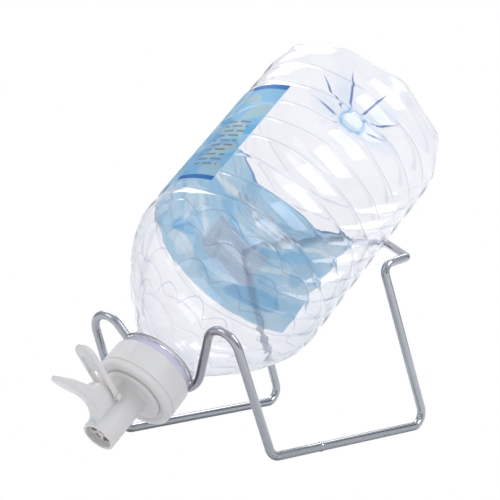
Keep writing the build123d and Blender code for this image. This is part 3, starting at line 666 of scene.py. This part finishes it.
# Bottle
def bottle_profile():
    """Outer half section in (radius, station), from the mouth to the middle of the base."""
    finish = rounded([(MOUTH_RADIUS, MOUTH), (FINISH_RADIUS, MOUTH), (FINISH_RADIUS, SUPPORT_RING_FRONT),
                      (SUPPORT_RING_RADIUS, SUPPORT_RING_FRONT), (SUPPORT_RING_RADIUS, SUPPORT_RING_BACK),
                      (NECK_RADIUS, SUPPORT_RING_BACK), (NECK_RADIUS, NECK_ROOT)], 0.5)
    shoulder = smooth_curve(SHOULDER, 8)[1:]
    stations = BARREL_START + 1.6 * np.arange(1, 105)
    barrel = np.column_stack([np.full(len(stations), BOTTLE_RADIUS), stations])
    foot = rounded([(BOTTLE_RADIUS, BARREL_END), (BOTTLE_RADIUS, BASE), (BASE_RING_RADIUS, BASE),
                    (GATE_RADIUS, PUSH_UP_STATION), (GATE_RADIUS - 1, GATE_STATION), (0.01, GATE_STATION)],
                   [BASE_CORNER, BASE_RING_ROUND, 2.0, 1.2], step=6.0)
    return resample(np.vstack([finish, shoulder, barrel, foot]), 1.55)


def fold_lines(station, angle):
    """Signed distances to the four rows of scallops on the shoulder, each a sine's size that shifts by half a
    scallop from row to row, and to the eight rings of the barrel, which sway by two small sines."""
    rows = [station - row - SCALLOP_RISE * np.abs(np.sin(SCALLOPS_ROUND * angle / 2 + i * math.pi / 2))
            + SCALLOP_LIFT for i, row in enumerate(SCALLOP_STATIONS)]
    rings = [station - ring - sum(size * np.sin(times * angle + shift * i)
                                  for size, times, shift in RING_SWAYS)
             for i, ring in enumerate(RING_STATIONS)]
    return rows, rings


def fold_turn(station, angle):
    """Whole number at the bottom of each fold and a half between two of them, so that the fold's place, where
    a thin line of shade is painted, can be read off finely between the points."""
    rows, rings = fold_lines(station, angle)
    off = np.array(np.broadcast_arrays(*rows, *rings))
    nearest = np.abs(off).argmin(axis=0)
    off_nearest = np.take_along_axis(off, nearest[None], axis=0)[0]
    return nearest + np.clip(off_nearest / FOLD_PITCH, -0.49, 0.49)


def groove(off, rounding, width):
    """1 in the middle of a groove and dying away beside it: the exponential of minus the distance over the
    width, with its tip rounded."""
    return np.exp((rounding - np.sqrt(off ** 2 + rounding ** 2)) / width)


def off_crease(angle):
    """Angle to the nearest crease of the base."""
    share = np.mod((angle - FIRST_CREASE) / CREASE_PITCH + 0.5, 1.0) - 0.5
    return np.abs(share) * CREASE_PITCH


def base_relief(radius, angle):
    """How far the base is drawn in: its corner is cut to flats between the creases, which a cosine over a
    cosine makes straight, and a soft crease runs from each corner of the flats to the gate."""
    crease_depth, crease_width, from_gate, from_rim = 0.7, 2.2, (9.0, 17.0), (60.0, 30.0)
    flats_radius, corner_softness, flats_stretch = 66.0, 0.07, (44.0, 74.0)
    swing, half_pitch = off_crease(angle), CREASE_PITCH / 2
    crease = np.exp(-(swing * np.maximum(radius, 1.0) / crease_width) ** 2)
    crease = crease * ramp(radius, *from_gate) * ramp(radius, *from_rim)
    soft_swing = np.hypot(swing, corner_softness) * half_pitch / math.hypot(half_pitch, corner_softness)
    flat = flats_radius * (1 - math.cos(half_pitch) / np.cos(half_pitch - soft_swing))
    return crease_depth * crease + ramp(radius, *flats_stretch) * flat


def relief(station, radius, angle):
    """How far the wall is drawn in: ring grooves with soft bulges between them, rows of scallops on the
    shoulder, and the flats and creases of the base."""
    rows, rings = fold_lines(station, angle)
    on_barrel = ramp(station, *RING_FRONT_STRETCH) * ramp(station, *RING_REAR_STRETCH)
    depth = sum(on_barrel * RING_DEPTH * groove(off, RING_ROUND, RING_WIDTH) for off in rings)
    depth = np.minimum(depth, RING_DEPTH_LIMIT)
    for off, row_depth in zip(rows, SCALLOP_DEPTHS):
        depth += np.where(station < SHOULDER_END, row_depth * groove(off, SCALLOP_ROUND, SCALLOP_WIDTH), 0)
    return depth + ramp(station, *BASE_STRETCH) * base_relief(radius, angle)


def thickness_tint(station, radius, angle):
    """Share of the gate's thick, bluish plastic: a ring round the gate and a faint haze that spreads from
    it."""
    ring_radius, ring_width, haze_reach, haze_fade, on_base = 10.0, 1.3, 40.0, 22.0, (288.0, 293.0)
    ring = 0.7 * np.exp(-((radius - ring_radius) / ring_width) ** 2)
    reach = haze_reach * (1.0 + 0.25 * np.sin(5 * angle + 1.0))
    haze = 0.2 * ramp(reach - radius, 0, haze_fade)
    return ramp(station, *on_base) * np.clip(ring + haze, 0, 1)


def wall_points(profile, turns, relief_share, inset):
    """Points of one wall, drawn in along the profile's normal by inset and by a share of the relief, and the
    tint and the fold turn at each point. The gate has no relief."""
    gate_edge = 7.0
    tangent = np.gradient(profile, axis=0)
    tangent /= np.linalg.norm(tangent, axis=1)[:, None]
    angle, radius, station = angles(turns), profile[:, :1], profile[:, 1:]
    inset, relief_share = inset[:, None], relief_share[:, None]
    depth = np.where(radius < gate_edge, inset, relief(station, radius, angle) * relief_share + inset)
    drawn_radius = np.maximum(radius - depth * tangent[:, 1:], 0.01)
    points = around(drawn_radius, station + depth * tangent[:, :1], angle)
    return points, thickness_tint(station, radius, angle).ravel(), fold_turn(station, angle).ravel()


def make_bottle():
    """Outer and inner walls as two grids in one mesh, joined round the mouth."""
    turns = 160
    outer = bottle_profile()
    inner = np.vstack([BORE, outer[outer[:, 1] > BORE_END]])
    in_bore = np.arange(len(inner)) < len(BORE)
    outer_points, outer_tint, outer_fold = wall_points(
        outer, turns, np.ones(len(outer)), np.zeros(len(outer)))
    inner_points, inner_tint, inner_fold = wall_points(
        inner, turns, np.where(in_bore, 0.0, 0.9), np.where(in_bore, 0.0, SKIN))
    points, faces = gather([(outer_points, grid_faces(len(outer), turns)),
                            (inner_points, grid_faces(len(inner), turns))])
    start = len(outer_points)
    faces += [[i, start + i, start + (i + 1) % turns, (i + 1) % turns] for i in range(turns)]
    bottle = make_mesh("bottle_clear_shell", points, faces)
    # The fold turn places the painted shade lines along the folds
    for name, walls in (("thick", (outer_tint, inner_tint)), ("fold_shade", (outer_fold, inner_fold))):
        layer = bottle.data.attributes.new(name, "FLOAT", "POINT")
        layer.data.foreach_set("value", np.concatenate(walls).astype(np.float32))
    return bottle


def make_label():
    """Film just off the bottle, over its sweep and length, whose radius waves by a sine round the bottle
    times a sine along it. Its UV is the way round and the way along, in millimetres."""
    columns, rows = 150, 60
    swept = LABEL_SWEEP * np.arange(columns + 1)[None] / columns
    along = LABEL_LENGTH * np.arange(rows + 1)[:, None] / rows
    angle, station = LABEL_START + swept, LABEL_STATION + along
    radius = LABEL_RADIUS + LABEL_WAVE * np.sin(9 * angle) * np.sin(station / 9.0)
    faces = grid_faces(rows + 1, columns + 1, wrap_columns=False)
    film = make_mesh("label_print_film", around(radius, station, angle), faces, closed=False)
    flat = np.stack(np.broadcast_arrays(LABEL_PRINT_RADIUS * swept, along), axis=-1).reshape(-1, 2)
    corners = np.empty(len(film.data.loops), dtype=np.int32)
    film.data.loops.foreach_get("vertex_index", corners)
    film.data.uv_layers.new(name="film").data.foreach_set("uv", flat[corners].ravel())
    return film


shell_halves = [f"bottle_{run}_{side}" for run in ("shoulder", "front_barrel", "rear_barrel", "base")
                for side in ("left", "right")]
dress(make_bottle(), CLEAR, "bottle", ["bottle_neck", *shell_halves])
dress(make_label(), PRINT, "bottle", ["label_film"])

band_section = rounded([(BAND_INNER, BAND_FRONT), (BAND_OUTER, BAND_FRONT), (BAND_OUTER, BAND_BACK),
                        (BAND_INNER, BAND_BACK)], BAND_ROUND, closed=True)
dress(make_mesh("neck_band", *spun(band_section, 96)), VIOLET, "bottle", ["tamper_band"])


# Screw cap, tap body and squeeze lever
def rounded_section(section, step):
    """Closed line through the corners of a half section, each with its own rounding."""
    corners = np.array(section)
    return resample(rounded(corners[:, :2], corners[:, 2], closed=True), step, closed=True)


def make_cap():
    """Cap turned from its half section, with four thin ribs along the skirt: the radius grows by their height
    times the exponential of minus the fourth power of the way from a rib over its half width."""
    turns = 256
    path = rounded_section(CAP_SECTION, 1.6)
    radius, station = path[:, :1], path[:, 1:]
    angle = angles(turns)
    rib = np.zeros(angle.shape)
    for middle in FIRST_RIB + np.arange(CAP_RIBS) * FULL_TURN / CAP_RIBS:
        off = np.mod(angle - middle + HALF_TURN, FULL_TURN) - HALF_TURN
        rib += np.exp(-(off * SKIRT_RADIUS / RIB_HALF_WIDTH) ** 4)
    fade = ramp(station, *RIB_FRONT_STRETCH) * ramp(station, *RIB_BACK_STRETCH)
    fade[(radius <= SKIRT_INNER) | (station >= SKIRT_BACK)] = 0
    points = around(radius + RIB_PROUD * fade * rib, station, angle)
    return make_mesh("screw_cap_body", points, grid_faces(len(path), turns, wrap_rows=True))


def finger_rest(points, tip, root, half, broad):
    """Widens a slab into a finger rest with a round end: across the rest, every place is scaled by the width
    of a slot with round ends, whose middle line runs from tip to root, over the slab's own width."""
    along = np.array(root) - np.array(tip)
    length = np.linalg.norm(along)
    side_view = np.stack([(points - SEAM) @ AXIS, (points - SEAM) @ UP], axis=1)
    passed = (side_view - np.array(tip)) @ (along / length)
    width = broad * np.sqrt(np.clip(1 - ramp(passed, broad, 0) ** 2, 0.0004, 1))
    rooted = half + (broad - half) * np.sin(ramp(passed, length, length - broad) * math.pi / 2)
    width = np.where(passed > length - broad, rooted, width)
    return np.column_stack([points[:, 0] * width / half, points[:, 1:]])


def make_tap():
    """Turned flange, hub and spout with its bore, and a rounded slab for the web and the fixed ear."""
    turned = spun(rounded_section(TAP_SECTION, 2.0), 112)
    front = smooth_curve(EAR_FRONT, 5)
    tip = rounded(EAR_TIP, [1.4, 1.2])[1:-1]
    back = smooth_curve(EAR_BACK, 6)
    web = rounded(WEB, [2.0, 2.5, 2.0, 1.5, 0, 0])[1:-1]
    outline = resample(np.vstack([front, tip, back, web]), 1.2, closed=True)
    points, faces = plate(outline, -EAR_HALF, EAR_HALF, EAR_ROUND)
    points = finger_rest(points, EAR_REST_TIP, EAR_REST_ROOT, EAR_HALF, EAR_REST_HALF)
    return make_mesh("tap_moulding", *gather([turned, (points, faces)]))


def make_lever():
    """Finger plate between two side rails that run down as the fork, with a lip inside each rail and a crank
    on each arm."""
    front, back = smooth_curve(LEVER_FRONT, 7), smooth_curve(LEVER_BACK, 7)
    tip = rounded(LEVER_TIP, [1.5, 1.5])[1:-1]
    round_foot = np.radians(np.arange(10, -191, -15))[:, None]
    foot = np.array(PIVOT) + ARM_END_RADIUS * np.hstack([np.cos(round_foot), np.sin(round_foot)])
    rail = resample(np.vstack([front, tip, back, foot]), 1.3, closed=True)
    lip = rail[rail[:, 1] > FORK_HEIGHT]
    rest = np.vstack([[CHANNEL_START, CHANNEL_TOP], front[front[:, 1] > CHANNEL_HEAD], tip,
                      back[back[:, 1] > PLATE_BACK], [PLATE_BACK_START]])
    crank = rounded(CRANK, [1.5, 1.5])
    parts = [plate(resample(rest, 1.3, closed=True), -PLATE_HALF, PLATE_HALF, 0.2)]
    for side in (-1, 1):
        for outline, inner, outer, edge in ((rail, ARM_INNER, LEVER_HALF, 0.8),
                                            (lip, LIP_INNER, CRANK_OUTER, 0.5),
                                            (crank, ARM_INNER, CRANK_OUTER, 0.2)):
            parts.append(plate(outline, *sorted((side * inner, side * outer)), edge))
    points, faces = gather(parts)
    points = finger_rest(points, LEVER_REST_TIP, LEVER_REST_ROOT, LEVER_HALF, LEVER_HALF)
    return make_mesh("squeeze_lever_moulding", points, faces)


dress(make_cap(), WHITE, "tap", ["screw_cap"])
dress(make_tap(), WHITE, "tap", ["tap_body"])
dress(make_lever(), WHITE, "lever", ["squeeze_lever"])

# CAD nodes whose shapes are right
for node in ("pivot_pin", "valve_stem", "valve_head", "spring_cage", "stem_guide"):
    paint(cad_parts[node], WHITE)
for node in ("valve_seal", "cap_gasket"):
    paint(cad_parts[node], RUBBER)


def make_spring():
    """The return spring's coils in a piece of their own."""
    coils = place("return_spring_coils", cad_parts["return_spring"].data.copy())
    dress(coils, STEEL, "tap", ["return_spring"])
    points = np.empty(len(coils.data.vertices) * 3)
    coils.data.vertices.foreach_get("co", points)
    points = points.reshape(-1, 3)
    along = points @ AXIS
    fixed_end = tuple(points[along.argmax()])
    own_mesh(coils)


make_spring()

# Floor, light and camera, in metres. The floor lies just under the rack.
TARGET, LIGHT_TARGET = Vector((0, -0.0288, 0.1392)), Vector((0, 0, 0.12))
CAMERA_AZIMUTH, CAMERA_ELEVATION = math.radians(43.5), math.radians(6.0)
CAMERA_DISTANCE, FOCAL_PIXELS, PICTURE_PIXELS, SENSOR = 1.504, 2040, 500, 36
FLOOR_WIDTH, FLOOR_LEVEL = 6.0, -0.0002

towards_camera = Vector((math.sin(CAMERA_AZIMUTH) * math.cos(CAMERA_ELEVATION),
                         -math.cos(CAMERA_AZIMUTH) * math.cos(CAMERA_ELEVATION), math.sin(CAMERA_ELEVATION)))
rightwards = Vector((math.cos(CAMERA_AZIMUTH), math.sin(CAMERA_AZIMUTH), 0))
camera_up = towards_camera.cross(rightwards)


def from_view(right, up, near):
    """Place so far to the right of the target in the camera's view, above it, and nearer to the camera."""
    return TARGET + rightwards * right + Vector((0, 0, up)) + towards_camera * near


def aim(obj, centre, look_at):
    """Puts a light or a card at a place, facing another."""
    obj.location = centre
    obj.rotation_euler = (look_at - centre).to_track_quat("-Z", "Y").to_euler()


def rectangle(name, width, height):
    """Flat mesh object about the origin."""
    w, h = width / 2, height / 2
    mesh = bpy.data.meshes.new(name)
    mesh.from_pydata([(-w, -h, 0), (w, -h, 0), (w, h, 0), (-w, h, 0)], [], [(0, 1, 2, 3)])
    return place(name, mesh)


def seen_directly(tree):
    """1 for what the camera sees straight or through the clear bottle."""
    rays = add(tree, "LightPath").node.outputs
    return add(tree, "Math", [rays["Is Camera Ray"], rays["Is Transmission Ray"]], operation="MAXIMUM")


def paper_floor():
    """White paper: the camera sees it plain white, and light meets it as matt white."""
    material, tree = new_material("matt white paper floor")
    matt = add(tree, "BsdfDiffuse", [linear("#f4f4f6")])
    white = add(tree, "Emission", [linear("#ffffff"), 1.0])
    add(tree, "OutputMaterial", [add(tree, "MixShader", [seen_directly(tree), matt, white])])
    return material


floor = rectangle("floor", FLOOR_WIDTH, FLOOR_WIDTH)
floor.location.z = FLOOR_LEVEL
paint(floor, paper_floor())

camera_data = bpy.data.cameras.new("camera")
camera_data.sensor_width = SENSOR
camera_data.lens = FOCAL_PIXELS / PICTURE_PIXELS * SENSOR
camera = place("camera", camera_data)
camera_turn = Matrix((rightwards, camera_up, towards_camera)).transposed().to_4x4()
camera.matrix_world = Matrix.Translation(TARGET + towards_camera * CAMERA_DISTANCE) @ camera_turn
bpy.context.scene.camera = camera

# Soft lights: place in the view, size, power and colour
for name, centre, size, power, colour in [
        ("key light", from_view(1.0, 0.9, 0.35), (0.8, 0.9), 7.0, (0.98, 0.98, 1.0)),
        ("fill light", from_view(-0.9, 0.7, 0.5), (0.6, 0.8), 2.0, (1.0, 1.0, 1.0)),
        ("rim light", from_view(0.0, 1.0, -0.9), (1.2, 0.6), 8.0, (1.0, 1.0, 1.0))]:
    lamp = bpy.data.lights.new(name, "AREA")
    lamp.shape = "RECTANGLE"
    lamp.size, lamp.size_y = size
    lamp.energy = power
    lamp.color = colour
    light = place(name, lamp)
    aim(light, centre, LIGHT_TARGET)

# Cards that show only in reflections and through the bottle: place in the view, size, strength and colour
for name, centre, size, strength, code in [
        ("dusk card left", from_view(-0.75, 0.05, -0.3), (0.14, 1.0), 0.3, "#8f9cc8"),
        ("dusk card right", from_view(0.78, 0.1, -0.25), (0.14, 1.0), 0.3, "#8f9cc8"),
        ("dark card near", from_view(-0.42, 0.3, 0.95), (0.1, 0.8), 0.05, "#50535c"),
        ("grey card near", from_view(0.55, -0.05, 0.95), (0.24, 0.9), 0.1, "#7b808f")]:
    glow, glow_tree = new_material(name + " paint")
    add(glow_tree, "OutputMaterial", [add(glow_tree, "Emission", [linear(code), strength])])
    card = rectangle(name, *size)
    aim(card, centre, TARGET)
    paint(card, glow)
    card.visible_camera = False
    card.visible_shadow = False

world = bpy.data.worlds.new("studio")
bpy.context.scene.world = world
world.use_nodes = True
world.node_tree.nodes.clear()
white_room = add(world.node_tree, "Background", [linear("#ffffff"), 1.0])
room_light = add(world.node_tree, "Background", [linear("#eef1f8"), 0.9])
room = add(world.node_tree, "MixShader", [seen_directly(world.node_tree), room_light, white_room])
add(world.node_tree, "OutputWorld", [room])

bpy.context.scene.view_settings.view_transform = "Standard"

bpy.context.view_layer.update()
